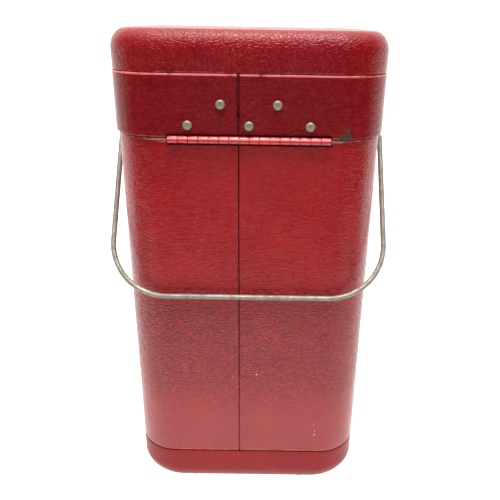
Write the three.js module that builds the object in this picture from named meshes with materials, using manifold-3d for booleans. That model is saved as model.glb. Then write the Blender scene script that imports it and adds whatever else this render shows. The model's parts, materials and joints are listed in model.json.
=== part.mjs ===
// A tall steel lunch box: a seamed sheet sleeve on a drawn bottom pan, a hinged two-piece lid,
// a wire bail that swings on two riveted ears, and a flip-up hasp on the front.
// Millimetres, +Z up, origin at the middle of the floor it stands on. The hinge is at +Y.

import * as THREE from "three";
import { mergeVertices } from "three/addons/utils/BufferGeometryUtils.js";
import Module from "manifold-3d";

const wasm = await Module();
wasm.setup();

// Driving dimensions of the box. An inset is a distance inward from the lid's outer face.
const WIDTH = 216;
const DEPTH = 178;
const CORNER_RADIUS = 39.5;
const CORNER_STEPS = 7;
const SHEET = 1;
const GAP = 0.3;
const FOOT_HEIGHT = 2.3;
const PAN_SEAM = 46.4;
const LID_SEAM = 349.8;
const CAP_SEAM = 396.4;
const TOP = 426.4;
const BODY_INSET = 2.3;
const CAP_INSET = 0.5;
const TUCK = 10;

// Edge rolls of the drawn cap and pan: sideways and upright radius. The pan's corners also grow
// rounder in plan on the way down its roll.
const CAP_ROLL = [12.7, 15.1];
const PAN_ROLL = [28, 24];
const PAN_CORNER_GROWTH = 9;
const ROLL_STEPS = 6;

// Embossed feet of the pan.
const FOOT_X = 53;
const FOOT_Y = 57.5;
const FOOT_FLAT_RADIUS = 11.5;
const FOOT_ROOT_RADIUS = 15.5;
const FOOT_CONE_HEIGHT = 9;

// Rear hinge: one row of knuckles, shared in turn by the lid's leaf and the body's leaf.
const HINGE_X = -1;
const HINGE_Y = DEPTH / 2;
const HINGE_Z = LID_SEAM - 1.5;
const KNUCKLES = 16;
const KNUCKLE_PITCH = 7.75;
const KNUCKLE_RADIUS = 2.8;
const HINGE_LENGTH = KNUCKLES * KNUCKLE_PITCH;
const NOTCH_HALF = HINGE_LENGTH / 2 + 1;
const NOTCH_TOP = LID_SEAM + 2.7;
const NOTCH_BOTTOM = LID_SEAM - 5.1;
const LEAF_HEIGHT = 31;
const LEAF_SHEET = 0.9;
const PIN_RADIUS = 1.2;
const PIN_BORE = PIN_RADIUS + GAP;

// Hinge rivets, in a zigzag: three in the lower row and two in the upper row.
const RIVET_MIDDLE = -0.6;
const LOWER_RIVETS = { spread: 46.2, z: LID_SEAM + 9.3 };
const UPPER_RIVETS = { spread: 21.3, z: LID_SEAM + 24.8 };
const RIVET_HEAD = 3.5;
const RIVET_SHANK = 1.35;

// Upright seams at the back where each sheet's ends meet.
const SEAM_X = 7.3;
const BAND_SEAM_WIDTH = 2.5;
const BODY_SEAM_WIDTH = 1;
const SEAM_DEPTH = 0.6;

// Bail: a wire bow that hangs behind the box, on ears at mid-depth.
const PIVOT_Z = LID_SEAM - 12;
const WIRE_RADIUS = 2.35;
const BAIL_HALF = 117;
const BAIL_REACH = 152;
const BAIL_BEND = 49;
const BAIL_REST = THREE.MathUtils.degToRad(36.7);
const END_BEND = 3.2;
const END_HEAD_RADIUS = 4;
const EAR_FACE = WIDTH / 2 - BODY_INSET + GAP;
const EAR_RISE = 7.9;
const EAR_SHEET = 1.2;
const EAR_HALF = 22;
const EAR_HEIGHT = 16;
const EAR_RIVET_Y = 16;

// Front latch: a hasp that hangs from its base when released and flips up over the lid's catch.
const PLATE_SHEET = 1.2;
const LATCH_Y = -91.5;
const LATCH_Z = LID_SEAM - 16;
const LATCH_KNUCKLE = 2.6;
const LATCH_HALF = 13;
const HASP_HALF = 8;
const HASP_NECK_HALF = 6.3;
const HASP_LENGTH = 50;
const CATCH_REACH = 38;
const SLOT_HALF = 4;

const enamel = new THREE.MeshStandardMaterial({ color: 0x8e2830, roughness: 0.42, metalness: 0.05 });
const wireSteel = new THREE.MeshStandardMaterial({ color: 0x9a948a, roughness: 0.45, metalness: 0.9 });
const rivetMetal = new THREE.MeshStandardMaterial({ color: 0xb39a7c, roughness: 0.5, metalness: 0.8 });
const plateSteel = new THREE.MeshStandardMaterial({ color: 0x8b8680, roughness: 0.5, metalness: 0.85 });

const lunchBox = new THREE.Group();

/** Adds one named sub-part to the box, or to a nested group of it. */
function addNode(name, geometry, material, parent = lunchBox) {
  const mesh = new THREE.Mesh(geometry, material);
  mesh.name = name;
  parent.add(mesh);
  return mesh;
}

/** Turns a closed geometry into a solid that can be cut and joined. */
function solidOf(geometry) {
  const bare = geometry.clone();
  bare.deleteAttribute("normal");
  bare.deleteAttribute("uv");
  const merged = mergeVertices(bare);
  const vertProperties = Float32Array.from(merged.attributes.position.array);
  const triVerts = Uint32Array.from(merged.index.array);
  return new wasm.Manifold(new wasm.Mesh({ numProp: 3, vertProperties, triVerts }));
}

/** Turns a solid back into a geometry. */
function geometryOf(solid) {
  const mesh = solid.getMesh();
  const geometry = new THREE.BufferGeometry();
  geometry.setAttribute("position", new THREE.BufferAttribute(mesh.vertProperties, 3));
  geometry.setIndex(new THREE.BufferAttribute(mesh.triVerts, 1));
  return geometry;
}

/** A box between two corners. */
function block(low, high) {
  const size = high.map((value, axis) => value - low[axis]);
  const middle = high.map((value, axis) => (value + low[axis]) / 2);
  return new THREE.BoxGeometry(...size).translate(...middle);
}

/** A round bar along X, between two places on it. */
function barX(radius, fromX, toX, y, z, sides = 14) {
  const bar = new THREE.CylinderGeometry(radius, radius, toX - fromX, sides);
  return bar.rotateZ(Math.PI / 2).translate((fromX + toX) / 2, y, z);
}

/** A round bar along Y, between two places on it. */
function barY(radius, x, fromY, toY, z, sides = 14) {
  const bar = new THREE.CylinderGeometry(radius, radius, toY - fromY, sides);
  return bar.translate(x, (fromY + toY) / 2, z);
}

/** A closed shape through a list of points. */
function shapeOf(points) {
  return new THREE.Shape(points.map(([across, up]) => new THREE.Vector2(across, up)));
}

/** A shape in (y, z), drawn out along X from one place to another. */
function drawnAlongX(shape, fromX, toX) {
  const options = { depth: toX - fromX, bevelEnabled: false, curveSegments: 8 };
  const geometry = new THREE.ExtrudeGeometry(shape, options);
  const turn = new THREE.Matrix4().makeBasis(
    new THREE.Vector3(0, 1, 0),
    new THREE.Vector3(0, 0, 1),
    new THREE.Vector3(1, 0, 0),
  );
  return geometry.applyMatrix4(turn).translate(fromX, 0, 0);
}

/** The box's rounded rectangle at an inset, its corners grown, as a counter-clockwise ring. */
function ring(inset, z, growth = 0) {
  const radius = CORNER_RADIUS - inset + growth;
  const centreX = WIDTH / 2 - CORNER_RADIUS - growth;
  const centreY = DEPTH / 2 - CORNER_RADIUS - growth;
  const points = [];
  for (let corner = 0; corner < 4; corner += 1) {
    const signX = corner === 0 || corner === 3 ? 1 : -1;
    const signY = corner < 2 ? 1 : -1;
    for (let step = 0; step <= CORNER_STEPS; step += 1) {
      const angle = ((corner + step / CORNER_STEPS) * Math.PI) / 2;
      points.push(
        signX * centreX + radius * Math.cos(angle),
        signY * centreY + radius * Math.sin(angle),
        z,
      );
    }
  }
  return points;
}

/**
 * Sheet metal bent to a profile of (inset, z, corner growth) points and carried round the box. The
 * profile runs up the outside and down the inside. A hoop's profile closes on itself, and a dish's
 * two ends are closed by a flat floor.
 */
function sheetRound(profile, isDish) {
  const positions = profile.flatMap(([inset, z, growth]) => ring(inset, z, growth));
  const around = 4 * (CORNER_STEPS + 1);
  const rings = profile.length;
  const index = [];
  for (let level = 0; level < (isDish ? rings - 1 : rings); level += 1) {
    const above = (level + 1) % rings;
    for (let step = 0; step < around; step += 1) {
      const next = (step + 1) % around;
      const [a, b] = [level * around + step, level * around + next];
      const [c, d] = [above * around + next, above * around + step];
      index.push(a, b, c, a, c, d);
    }
  }
  if (isDish) {
    const first = positions.length / 3;
    positions.push(0, 0, profile[0][1], 0, 0, profile[rings - 1][1]);
    const lastRing = (rings - 1) * around;
    for (let step = 0; step < around; step += 1) {
      const next = (step + 1) % around;
      index.push(first, next, step, lastRing + step, lastRing + next, first + 1);
    }
  }
  const geometry = new THREE.BufferGeometry();
  geometry.setAttribute("position", new THREE.Float32BufferAttribute(positions, 3));
  geometry.setIndex(index);
  return geometry;
}

/** A quarter roll of profile points, from an upright wall at its outside to a level floor. */
function roll(wallInset, floorZ, [sideways, upright], up, offset, growth = 0) {
  const direction = up ? -1 : 1;
  const points = [];
  for (let step = 0; step <= ROLL_STEPS; step += 1) {
    const angle = ((step / ROLL_STEPS) * Math.PI) / 2;
    points.push([
      wallInset + offset + (sideways - offset) * (1 - Math.cos(angle)),
      floorZ + direction * (upright - (upright - offset) * Math.sin(angle)),
      growth * Math.sin(angle),
    ]);
  }
  return points;
}

/** A rivet along +Y through a stack of sheets, its outer face at y = 0. */
function rivet(stack, head = RIVET_HEAD) {
  const tail = RIVET_SHANK + 0.9;
  const bottom = -stack - GAP;
  const outline = [
    [0, bottom - 1.1],
    [tail * 0.7, bottom - 1],
    [tail, bottom - 0.5],
    [tail, bottom],
    [RIVET_SHANK, bottom],
    [RIVET_SHANK, GAP],
    [head, GAP],
    [head * 0.95, GAP + 0.7],
    [head * 0.72, GAP + 1.4],
    [head * 0.4, GAP + 1.85],
    [0, GAP + 2],
  ];
  return new THREE.LatheGeometry(outline.map(([r, y]) => new THREE.Vector2(r, y)), 12);
}

/** The hinge rivets' places across the back of the band. */
function hingeRivetPlaces() {
  const lower = [-1, 0, 1].map((side) => [RIVET_MIDDLE + side * LOWER_RIVETS.spread, LOWER_RIVETS.z]);
  const upper = [-1, 1].map((side) => [RIVET_MIDDLE + side * UPPER_RIVETS.spread, UPPER_RIVETS.z]);
  return [...lower, ...upper];
}

/** Cuts shank holes for rivets along Y through whatever stands between two depths. */
function drillY(solid, places, fromY, toY) {
  return places.reduce(
    (left, [x, z]) => left.subtract(solidOf(barY(RIVET_SHANK + GAP, x, fromY, toY, z, 10))),
    solid,
  );
}

/** The lid's drawn top: a skirt over the band's upper edge, rolled over into a level top. */
function lidCap() {
  const inner = roll(CAP_INSET, TOP, CAP_ROLL, true, SHEET);
  const outer = roll(CAP_INSET, TOP, CAP_ROLL, true, 0);
  const rim = CAP_SEAM + 0.4;
  const profile = [
    ...inner.reverse(),
    [CAP_INSET + SHEET, rim],
    [CAP_INSET, rim],
    ...outer,
  ];
  return sheetRound(profile, true);
}

/** The space that a sheet leaves for the hinge, between two heights. */
function hingeNotch(fromZ, toZ) {
  const low = [HINGE_X - NOTCH_HALF, HINGE_Y - 10, fromZ];
  const high = [HINGE_X + NOTCH_HALF, HINGE_Y + 2, toZ];
  return block(low, high);
}

/** The lid's side band: its upper edge tucked up inside the cap, its lower edge curled inward. */
function lidBand() {
  const tuckInset = CAP_INSET + SHEET + GAP;
  const profile = [
    [2.6, LID_SEAM],
    [1.2, LID_SEAM],
    [0.35, LID_SEAM + 0.35],
    [0, LID_SEAM + 1.2],
    [0, CAP_SEAM - 1],
    [0.5, CAP_SEAM - 0.4],
    [tuckInset, CAP_SEAM],
    [tuckInset, CAP_SEAM + TUCK],
    [tuckInset + SHEET, CAP_SEAM + TUCK],
    [tuckInset + SHEET, CAP_SEAM - 0.4],
    [SHEET, CAP_SEAM - 1.6],
    [SHEET, LID_SEAM + 1.6],
    [2.6, LID_SEAM + 1],
  ];
  const back = DEPTH / 2;
  const notch = hingeNotch(LID_SEAM - 6, NOTCH_TOP);
  const half = BAND_SEAM_WIDTH / 2;
  const seam = block([SEAM_X - half, back - SEAM_DEPTH, LID_SEAM], [SEAM_X + half, back + 1, CAP_SEAM - 1]);
  const slot = block([SEAM_X - 1.1, back - 2, LID_SEAM + 15.4], [SEAM_X + 1.1, back + 1, LID_SEAM + 19.2]);
  const band = [notch, seam, slot].reduce(
    (left, cutter) => left.subtract(solidOf(cutter)),
    solidOf(sheetRound(profile, false)),
  );
  const riveted = drillY(band, hingeRivetPlaces(), back - 3, back + 1);
  return geometryOf(drillY(riveted, catchRivetPlaces(), -back - 1, -back + 3));
}

/** The body's sleeve, stepped in at its top to enter the lid and at its bottom to enter the pan. */
function bodySleeve() {
  const tuckInset = BODY_INSET + SHEET + GAP;
  const neckInset = 3.5;
  const profile = [
    [tuckInset, PAN_SEAM - TUCK],
    [tuckInset, PAN_SEAM + 0.3],
    [BODY_INSET, PAN_SEAM + 1.3],
    [BODY_INSET, LID_SEAM - 1.6],
    [2.7, LID_SEAM - 0.7],
    [neckInset, LID_SEAM - 0.4],
    [neckInset, LID_SEAM + TUCK - 0.5],
    [neckInset + SHEET, LID_SEAM + TUCK - 0.5],
    [neckInset + SHEET, LID_SEAM - 1],
    [BODY_INSET + SHEET, LID_SEAM - 2],
    [BODY_INSET + SHEET, PAN_SEAM + 1.7],
    [tuckInset + SHEET, PAN_SEAM + 0.7],
    [tuckInset + SHEET, PAN_SEAM - TUCK],
  ];
  const back = DEPTH / 2;
  const face = back - BODY_INSET;
  const notch = hingeNotch(NOTCH_BOTTOM, LID_SEAM + 12);
  const half = BODY_SEAM_WIDTH / 2;
  const seam = block([SEAM_X - half, face - SEAM_DEPTH, PAN_SEAM + 1], [SEAM_X + half, back + 1, LID_SEAM]);
  const sleeve = [notch, seam].reduce(
    (left, cutter) => left.subtract(solidOf(cutter)),
    solidOf(sheetRound(profile, false)),
  );
  const latched = drillY(sleeve, latchRivetPlaces(), -back - 1, -back + 5);
  return geometryOf(drillEars(latched));
}

/** The drawn bottom pan with four feet pressed down out of its floor. */
function bottomPan() {
  const outer = roll(BODY_INSET, FOOT_HEIGHT, PAN_ROLL, false, 0, PAN_CORNER_GROWTH);
  const inner = roll(BODY_INSET, FOOT_HEIGHT, PAN_ROLL, false, SHEET, PAN_CORNER_GROWTH);
  const rim = PAN_SEAM - 0.1;
  const profile = [
    ...outer.reverse(),
    [BODY_INSET, rim],
    [BODY_INSET + SHEET, rim],
    ...inner,
  ];
  const room = solidOf(sheetRound([...inner, [BODY_INSET + SHEET, rim]].reverse(), true));
  let pan = solidOf(sheetRound(profile, true));
  for (const sideX of [-1, 1]) {
    for (const sideY of [-1, 1]) {
      const foot = solidOf(footCone(sideX * FOOT_X, sideY * FOOT_Y, 0, 0));
      pan = pan.add(foot.subtract(room));
      pan = pan.subtract(solidOf(footCone(sideX * FOOT_X, sideY * FOOT_Y, SHEET, -0.8)));
    }
  }
  return geometryOf(pan);
}

/** The outside of one pressed foot, or its hollow when it is raised and slimmed by the sheet. */
function footCone(x, y, lift, slim) {
  const [root, flat] = [FOOT_ROOT_RADIUS + slim, FOOT_FLAT_RADIUS + slim];
  const cone = new THREE.CylinderGeometry(root, flat, FOOT_CONE_HEIGHT, 20);
  return cone.rotateX(Math.PI / 2).translate(x, y, lift + FOOT_CONE_HEIGHT / 2);
}

/** The X range of one knuckle, counted from the left end of the hinge. */
function knuckleSpan(number, margin) {
  const start = HINGE_X - HINGE_LENGTH / 2 + number * KNUCKLE_PITCH;
  return [start + margin, start + KNUCKLE_PITCH - margin];
}

/** One leaf of the hinge: its sheet, its knuckles, the bore, and room for the other leaf's. */
function hingeLeaf(sheets, firstKnuckle, room) {
  let leaf = sheets.map(solidOf).reduce((joined, sheet) => joined.add(sheet));
  for (let number = 0; number < KNUCKLES; number += 1) {
    const isOwn = number % 2 === firstKnuckle;
    const [from, to] = knuckleSpan(number, isOwn ? GAP / 2 : -GAP / 2);
    const barrel = solidOf(barX(isOwn ? KNUCKLE_RADIUS : room, from, to, HINGE_Y, HINGE_Z));
    leaf = isOwn ? leaf.add(barrel) : leaf.subtract(barrel);
  }
  const half = HINGE_LENGTH / 2 + 2;
  return leaf.subtract(solidOf(barX(PIN_BORE, HINGE_X - half, HINGE_X + half, HINGE_Y, HINGE_Z)));
}

/** The lid's leaf, riveted behind the band. */
function lidLeaf() {
  const outside = DEPTH / 2 - SHEET - GAP;
  const half = HINGE_LENGTH / 2 - GAP;
  const sheet = block(
    [HINGE_X - half, outside - LEAF_SHEET, HINGE_Z],
    [HINGE_X + half, outside, LID_SEAM + LEAF_HEIGHT],
  );
  const leaf = hingeLeaf([sheet], 0, KNUCKLE_RADIUS + GAP);
  return geometryOf(drillY(leaf, hingeRivetPlaces(), outside - 3, outside + 1));
}

/** The body's leaf, behind the sleeve, with a level web out to its knuckles. */
function bodyLeaf() {
  const outside = DEPTH / 2 - BODY_INSET - SHEET - GAP;
  const half = HINGE_LENGTH / 2 - GAP;
  const webTop = NOTCH_BOTTOM + GAP + 1;
  const inside = outside - LEAF_SHEET;
  const [left, right] = [HINGE_X - half, HINGE_X + half];
  const sheet = block([left, inside, LID_SEAM - LEAF_HEIGHT], [right, outside, webTop]);
  const web = block([left, inside, webTop - 1], [right, HINGE_Y - 0.4, webTop]);
  return geometryOf(hingeLeaf([sheet, web], 1, KNUCKLE_RADIUS + 2 * GAP));
}

/** The bail's wire along its flat route, from one turned-in end to the other. */
function bailWire() {
  const route = new THREE.Path();
  const endX = EAR_FACE + 3;
  route.moveTo(-endX, 0);
  route.lineTo(-BAIL_HALF + END_BEND, 0);
  route.absarc(-BAIL_HALF + END_BEND, -END_BEND, END_BEND, Math.PI / 2, Math.PI, false);
  route.lineTo(-BAIL_HALF, -BAIL_REACH + BAIL_BEND);
  route.absarc(-BAIL_HALF + BAIL_BEND, -BAIL_REACH + BAIL_BEND, BAIL_BEND, Math.PI, 1.5 * Math.PI, false);
  route.lineTo(BAIL_HALF - BAIL_BEND, -BAIL_REACH);
  route.absarc(BAIL_HALF - BAIL_BEND, -BAIL_REACH + BAIL_BEND, BAIL_BEND, -Math.PI / 2, 0, false);
  route.lineTo(BAIL_HALF, -END_BEND);
  route.absarc(BAIL_HALF - END_BEND, -END_BEND, END_BEND, 0, Math.PI / 2, false);
  route.lineTo(endX, 0);
  return wireAlong(route.getPoints(5), WIRE_RADIUS, 10);
}

/** A round wire along flat (x, z) points, closed at both ends. */
function wireAlong(points, radius, sides) {
  const positions = [];
  const index = [];
  points.forEach((point, place) => {
    const before = points[Math.max(place - 1, 0)];
    const after = points[Math.min(place + 1, points.length - 1)];
    const along = after.clone().sub(before).normalize();
    for (let side = 0; side < sides; side += 1) {
      const angle = (side / sides) * 2 * Math.PI;
      const across = radius * Math.cos(angle);
      positions.push(point.x + along.y * across, radius * Math.sin(angle), point.y - along.x * across);
    }
  });
  const last = points.length - 1;
  for (let place = 0; place < last; place += 1) {
    for (let side = 0; side < sides; side += 1) {
      const next = (side + 1) % sides;
      const [a, b] = [place * sides + side, place * sides + next];
      const [c, d] = [b + sides, a + sides];
      index.push(a, b, c, a, c, d);
    }
  }
  const start = positions.length / 3;
  positions.push(points[0].x, 0, points[0].y, points[last].x, 0, points[last].y);
  for (let side = 0; side < sides; side += 1) {
    const next = (side + 1) % sides;
    index.push(start, next, side, start + 1, last * sides + side, last * sides + next);
  }
  const geometry = new THREE.BufferGeometry();
  geometry.setAttribute("position", new THREE.Float32BufferAttribute(positions, 3));
  geometry.setIndex(index);
  return geometry;
}

/** The bail: its wire with an upset head on each end, inside the ears. */
function bailHandle() {
  const headX = EAR_FACE + 3;
  const heads = [-1, 1].map((side) => {
    const reach = [side * (headX - 0.4), side * (headX + 2)].sort((a, b) => a - b);
    return solidOf(barX(END_HEAD_RADIUS, ...reach, 0, 0));
  });
  return geometryOf(heads.reduce((joined, head) => joined.add(head), solidOf(bailWire())));
}

/** Cuts the ear rivets' holes through both side walls of the sleeve. */
function drillEars(solid) {
  const reach = WIDTH / 2;
  return [-1, 1].reduce((left, side) => {
    const hole = barX(RIVET_SHANK + GAP, -reach, reach, side * EAR_RIVET_Y, PIVOT_Z, 10);
    return left.subtract(solidOf(hole));
  }, solid);
}

/** One hat-shaped ear: two riveted feet and a raised bridge that the bail's end passes through. */
function bailEar() {
  const outer = EAR_RISE;
  const inner = EAR_RISE - EAR_SHEET;
  const outline = [
    [0, EAR_HALF],
    [EAR_SHEET, EAR_HALF],
    [EAR_SHEET, 10.2],
    [outer, 8.2],
    [outer, -8.2],
    [EAR_SHEET, -10.2],
    [EAR_SHEET, -EAR_HALF],
    [0, -EAR_HALF],
    [0, -9.3],
    [inner, -7.2],
    [inner, 7.2],
    [0, 9.3],
  ];
  const hat = new THREE.ExtrudeGeometry(shapeOf(outline), { depth: EAR_HEIGHT, bevelEnabled: false });
  hat.translate(0, 0, -EAR_HEIGHT / 2);
  const wireHole = barX(WIRE_RADIUS + 0.4, inner - 1, outer + 1, 0, 0);
  const rivetHoles = [-1, 1].map((side) => barX(RIVET_SHANK + GAP, -1, 3, side * EAR_RIVET_Y, 0, 10));
  const cut = [wireHole, ...rivetHoles].reduce((left, hole) => left.subtract(solidOf(hole)), solidOf(hat));
  return geometryOf(cut);
}

/** The (x, z) places of the latch base's rivets on the sleeve. */
function latchRivetPlaces() {
  return [-1, 1].map((side) => [side * 9.5, LATCH_Z - 20]);
}

/** The (x, z) places of the catch's rivets on the band. */
function catchRivetPlaces() {
  return [-1, 1].map((side) => [side * 13, LATCH_Z + CATCH_REACH]);
}

/** The latch's base: a plate on the sleeve with two lugs that hold the pin. */
function latchBase() {
  const back = -DEPTH / 2 + BODY_INSET - GAP;
  const front = back - PLATE_SHEET;
  let base = solidOf(block([-LATCH_HALF, front, LATCH_Z - 28], [LATCH_HALF, back, LATCH_Z + LATCH_KNUCKLE]));
  for (const side of [-1, 1]) {
    const lug = new THREE.Shape();
    lug.moveTo(front + 0.3, LATCH_Z - LATCH_KNUCKLE);
    lug.lineTo(LATCH_Y, LATCH_Z - LATCH_KNUCKLE);
    lug.absarc(LATCH_Y, LATCH_Z, LATCH_KNUCKLE, -Math.PI / 2, Math.PI / 2, true);
    lug.lineTo(front + 0.3, LATCH_Z + LATCH_KNUCKLE);
    const span = [side * (HASP_NECK_HALF + GAP), side * LATCH_HALF].sort((a, b) => a - b);
    base = base.add(solidOf(drawnAlongX(lug, ...span)));
  }
  base = base.subtract(solidOf(barX(PIN_BORE, -LATCH_HALF - 1, LATCH_HALF + 1, LATCH_Y, LATCH_Z)));
  return geometryOf(drillY(base, latchRivetPlaces(), front - 1, back + 1));
}

/** The hasp, hanging: a knuckle on the pin, a slotted strap, and a flared tip to lift it by. */
function latchHasp() {
  const half = PLATE_SHEET / 2;
  const tip = -HASP_LENGTH - 6;
  const side = [
    [-half, 0],
    [-half, -HASP_LENGTH],
    [1.8 - half, tip],
    [1.8 + half, tip],
    [half, -HASP_LENGTH],
    [half, 0],
  ];
  const strap = solidOf(drawnAlongX(shapeOf(side), -HASP_HALF, HASP_HALF));
  const knuckle = solidOf(barX(LATCH_KNUCKLE, -HASP_NECK_HALF, HASP_NECK_HALF, 0, 0));
  const slot = block([-SLOT_HALF, -2, -CATCH_REACH - SLOT_HALF], [SLOT_HALF, 2, -CATCH_REACH + SLOT_HALF]);
  const trims = [-1, 1].map((sign) => {
    const span = [sign * HASP_NECK_HALF, sign * (HASP_HALF + 1)].sort((a, b) => a - b);
    return block([span[0], -2, -5], [span[1], 2, 5]);
  });
  const bore = barX(PIN_BORE, -LATCH_HALF, LATCH_HALF, 0, 0);
  const cutters = [slot, bore, ...trims];
  return geometryOf(cutters.reduce((left, cutter) => left.subtract(solidOf(cutter)), strap.add(knuckle)));
}

/** The lid's catch: a plate on the band with a nose that the hasp's slot drops over. */
function latchCatch() {
  const back = -DEPTH / 2 - GAP;
  const front = back - PLATE_SHEET;
  const z = LATCH_Z + CATCH_REACH;
  const plate = solidOf(block([-18, front, z - 7], [18, back, z + 7]));
  const nose = [
    [front + 0.3, z - 1.8],
    [front - 4.2, z - 1.8],
    [front - 5.2, z - 0.6],
    [front - 5.2, z + 0.8],
    [front - 3, z + 1.8],
    [front + 0.3, z + 1.8],
  ];
  const joined = plate.add(solidOf(drawnAlongX(shapeOf(nose), -3, 3)));
  return geometryOf(drillY(joined, catchRivetPlaces(), front - 1, back + 1));
}

/** The case: everything that stays still when the box stands. */
function addCase() {
  addNode("bottom_pan", bottomPan(), enamel);
  addNode("body_sleeve", bodySleeve(), enamel);
  addNode("hinge_leaf_body", bodyLeaf(), enamel);
  const pinHalf = HINGE_LENGTH / 2;
  addNode("hinge_pin", barX(PIN_RADIUS, HINGE_X - pinHalf, HINGE_X + pinHalf, HINGE_Y, HINGE_Z), plateSteel);
}

/** The lid, closed. */
function addLid() {
  addNode("lid_cap", lidCap(), enamel);
  addNode("lid_band", lidBand(), enamel);
  addNode("hinge_leaf_lid", lidLeaf(), enamel);
  hingeRivetPlaces().forEach(([x, z], number) => {
    const mesh = addNode(`hinge_rivet_${number + 1}`, rivet(SHEET + GAP + LEAF_SHEET), rivetMetal);
    mesh.position.set(x, DEPTH / 2, z);
  });
}

/** The bail and the ears it swings on. */
function addBail() {
  const bail = addNode("bail_handle", bailHandle(), wireSteel);
  bail.position.set(0, 0, PIVOT_Z);
  bail.rotation.x = BAIL_REST;
  for (const [name, side] of [["left", -1], ["right", 1]]) {
    const ear = addNode(`bail_ear_${name}`, bailEar(), plateSteel);
    ear.position.set(side * EAR_FACE, 0, PIVOT_Z);
    ear.rotation.z = side > 0 ? 0 : Math.PI;
    [-1, 1].forEach((end, number) => {
      const shank = rivet(SHEET + GAP + EAR_SHEET, 3);
      const mesh = addNode(`bail_ear_rivet_${name}_${number + 1}`, shank, rivetMetal);
      mesh.position.set(side * (EAR_FACE + EAR_SHEET), end * EAR_RIVET_Y, PIVOT_Z);
      mesh.rotation.z = (-side * Math.PI) / 2;
    });
  }
}

/** The front latch, released. */
function addLatch() {
  addNode("latch_base", latchBase(), plateSteel);
  addNode("latch_pin", barX(PIN_RADIUS, -LATCH_HALF - 0.5, LATCH_HALF + 0.5, LATCH_Y, LATCH_Z), plateSteel);
  const hasp = addNode("latch_hasp", latchHasp(), plateSteel);
  hasp.position.set(0, LATCH_Y, LATCH_Z);
  addNode("latch_catch", latchCatch(), plateSteel);
  const baseFace = -DEPTH / 2 + BODY_INSET - GAP - PLATE_SHEET;
  const catchFace = -DEPTH / 2 - GAP - PLATE_SHEET;
  const stack = SHEET + GAP + PLATE_SHEET;
  const rows = [
    ["latch_base_rivet", latchRivetPlaces(), baseFace],
    ["latch_catch_rivet", catchRivetPlaces(), catchFace],
  ];
  for (const [name, places, face] of rows) {
    places.forEach(([x, z], number) => {
      const mesh = addNode(`${name}_${number + 1}`, rivet(stack, 2.6), rivetMetal);
      mesh.position.set(x, face, z);
      mesh.rotation.z = Math.PI;
    });
  }
}

addCase();
addLid();
addBail();
addLatch();

export default lunchBox;
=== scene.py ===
"""The looks of a tall red steel lunch box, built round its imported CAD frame.

Everything is in metres, in the row frame: +Z up, +Y towards the hinge, origin on the floor.
"""

import json
import math

import bmesh
import bpy
from mathutils import Matrix, Vector, noise


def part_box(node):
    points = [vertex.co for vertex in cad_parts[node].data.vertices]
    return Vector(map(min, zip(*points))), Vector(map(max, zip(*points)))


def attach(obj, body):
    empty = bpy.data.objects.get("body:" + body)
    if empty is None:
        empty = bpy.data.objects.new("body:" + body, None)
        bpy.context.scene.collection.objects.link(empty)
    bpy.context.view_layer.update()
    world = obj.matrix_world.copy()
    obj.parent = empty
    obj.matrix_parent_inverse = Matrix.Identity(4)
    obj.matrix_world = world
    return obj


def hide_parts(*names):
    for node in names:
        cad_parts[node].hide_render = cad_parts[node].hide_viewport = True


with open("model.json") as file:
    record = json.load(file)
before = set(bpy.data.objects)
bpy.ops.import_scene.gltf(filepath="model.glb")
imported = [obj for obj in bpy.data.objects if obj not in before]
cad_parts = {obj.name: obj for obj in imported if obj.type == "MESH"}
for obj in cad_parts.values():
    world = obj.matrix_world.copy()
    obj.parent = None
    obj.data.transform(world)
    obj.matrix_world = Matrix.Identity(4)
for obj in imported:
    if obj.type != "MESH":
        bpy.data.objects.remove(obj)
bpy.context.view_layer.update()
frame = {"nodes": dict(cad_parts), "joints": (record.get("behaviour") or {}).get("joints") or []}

MM = 0.001

# Places that the frame gives.
BAND_LOW, BAND_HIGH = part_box("lid_band")
CAP_LOW, CAP_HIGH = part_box("lid_cap")
BODY_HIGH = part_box("body_sleeve")[1]
PAN_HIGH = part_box("bottom_pan")[1]
LEAF_LOW, LEAF_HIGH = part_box("hinge_leaf_lid")
BODY_LEAF_LOW, BODY_LEAF_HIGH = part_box("hinge_leaf_body")
PIN_LOW, PIN_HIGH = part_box("hinge_pin")
JOINTS = {joint["name"]: joint for joint in frame["joints"]}

HALF_X = BAND_HIGH.x
HALF_Y = BAND_HIGH.y
LID_SEAM = BAND_LOW.z
CAP_SEAM = CAP_LOW.z - 0.4 * MM
TOP = CAP_HIGH.z
PAN_SEAM = PAN_HIGH.z + 0.1 * MM
HINGE = Vector(((PIN_LOW.x + PIN_HIGH.x) / 2, *JOINTS["lid_hinge"]["pos_m"][1:]))
PIVOT = Vector(JOINTS["bail_swing"]["pos_m"])

# Sheet and corner sizes that a bounding box doesn't give.
CORNER_RADIUS = 39.5 * MM
SHEET = 1 * MM
GAP = 0.3 * MM
BODY_INSET = HALF_X - BODY_HIGH.x
CAP_INSET = HALF_X - CAP_HIGH.x
NECK_INSET = 3.5 * MM
TUCK = 10 * MM
FOOT_HEIGHT = 2.3 * MM
CAP_ROLL = (12.7 * MM, 15.1 * MM)
PAN_ROLL = (28 * MM, 24 * MM)
PAN_CORNER_GROWTH = 9 * MM
FOOT_X = 53 * MM
FOOT_Y = 57.5 * MM
FOOT_FLAT = 11.5 * MM
FOOT_ROOT = 15.5 * MM

# Hinge: one row of knuckles, shared in turn by the two leaves.
KNUCKLES = 16
HINGE_LENGTH = PIN_HIGH.x - PIN_LOW.x
KNUCKLE_PITCH = HINGE_LENGTH / KNUCKLES
KNUCKLE_RADIUS = 2.8 * MM
NOTCH_HALF = HINGE_LENGTH / 2 + 1 * MM
NOTCH_TOP = LID_SEAM + 2.7 * MM
NOTCH_BOTTOM = LID_SEAM - 5.1 * MM

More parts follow.
